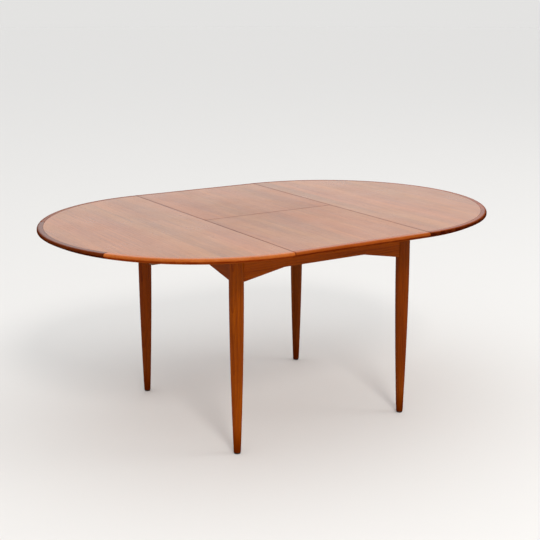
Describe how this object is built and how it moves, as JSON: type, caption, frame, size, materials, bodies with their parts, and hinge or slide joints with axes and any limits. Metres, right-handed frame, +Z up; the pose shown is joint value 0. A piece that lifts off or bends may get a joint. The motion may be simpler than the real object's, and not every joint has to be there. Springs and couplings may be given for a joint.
{
  "type": "extending dining table",
  "caption": "Round-ended dining table on round tapered legs, its half-tops drawn apart on runners round a folding centre leaf",
  "frame": {"origin": "on the floor under the middle of the extended top", "axes": "+X along the table, the way the half-tops slide; +Y across it, towards its back; +Z up"},
  "size_m": [1.714, 1.17, 0.73],
  "materials": {
    "teak_top": "satin lacquered teak veneer, straight grain across the table",
    "teak_edge_light": "satin lacquered solid teak, bright orange",
    "teak_edge": "satin lacquered solid teak, red-orange",
    "teak_edge_dark": "satin lacquered solid teak, dark brown",
    "teak_frame": "satin oiled solid teak, orange-brown",
    "frame_hardwood": "plain waxed hardwood",
    "brass": "brushed brass",
    "steel": "zinc-plated steel",
    "glide_plastic": "dark matte plastic"
  },
  "bodies": {
    "frame": {"leg_front_left": "teak_frame", "leg_back_left": "teak_frame", "leg_front_right": "teak_frame", "leg_back_right": "teak_frame", "glide_front_left": "glide_plastic", "glide_back_left": "glide_plastic", "glide_front_right": "glide_plastic", "glide_back_right": "glide_plastic", "apron_front": "teak_frame", "apron_back": "teak_frame", "apron_left": "teak_frame", "apron_right": "teak_frame", "corner_block_front_left": "frame_hardwood", "corner_screw_front_left": "steel", "corner_block_back_left": "frame_hardwood", "corner_screw_back_left": "steel", "corner_block_front_right": "frame_hardwood", "corner_screw_front_right": "steel", "corner_block_back_right": "frame_hardwood", "corner_screw_back_right": "steel", "guide_rail_front": "frame_hardwood", "guide_rail_back": "frame_hardwood", "leaf_bearer_left": "frame_hardwood", "leaf_bearer_right": "frame_hardwood"},
    "left_top": {"top_panel_left": "teak_top", "lipping_left_front": "teak_edge_light", "lipping_left_end": "teak_edge_dark", "lipping_left_back": "teak_edge", "runner_left_front": "frame_hardwood", "stop_peg_left_front": "frame_hardwood", "runner_screw_left_front_1": "steel", "runner_screw_left_front_2": "steel", "runner_left_back": "frame_hardwood", "stop_peg_left_back": "frame_hardwood", "runner_screw_left_back_1": "steel", "runner_screw_left_back_2": "steel"},
    "right_top": {"top_panel_right": "teak_top", "lipping_right_front": "teak_edge_dark", "lipping_right_end": "teak_edge_dark", "lipping_right_back": "teak_edge", "runner_right_front": "frame_hardwood", "stop_peg_right_front": "frame_hardwood", "runner_screw_right_front_1": "steel", "runner_screw_right_front_2": "steel", "runner_right_back": "frame_hardwood", "stop_peg_right_back": "frame_hardwood", "runner_screw_right_back_1": "steel", "runner_screw_right_back_2": "steel"},
    "leaf_back": {"leaf_panel_back": "teak_top", "leaf_lipping_back": "teak_edge", "hinge_barrel_back_1": "brass", "hinge_barrel_back_2": "brass", "hinge_barrel_back_3": "brass"},
    "leaf_front": {"leaf_panel_front": "teak_top", "leaf_lipping_front": "teak_edge", "hinge_barrel_front_1": "brass", "hinge_barrel_front_2": "brass", "hinge_barrel_front_3": "brass"}
  },
  "joints": [
    {"name": "left_top_slide", "type": "slide", "parent": "frame", "child": "left_top", "axis": [-1, 0, 0], "range_m": [0, 0.08]},
    {"name": "right_top_slide", "type": "slide", "parent": "frame", "child": "right_top", "axis": [1, 0, 0], "range_m": [0, 0.08]},
    {"name": "leaf_lift", "type": "slide", "parent": "frame", "child": "leaf_back", "axis": [0, 0, 1], "range_m": [0, 0.15]},
    {"name": "leaf_fold", "type": "hinge", "parent": "leaf_back", "child": "leaf_front", "pos_m": [0, 0, 0.7304], "axis": [-1, 0, 0], "range_deg": [0, 180]}
  ]
}
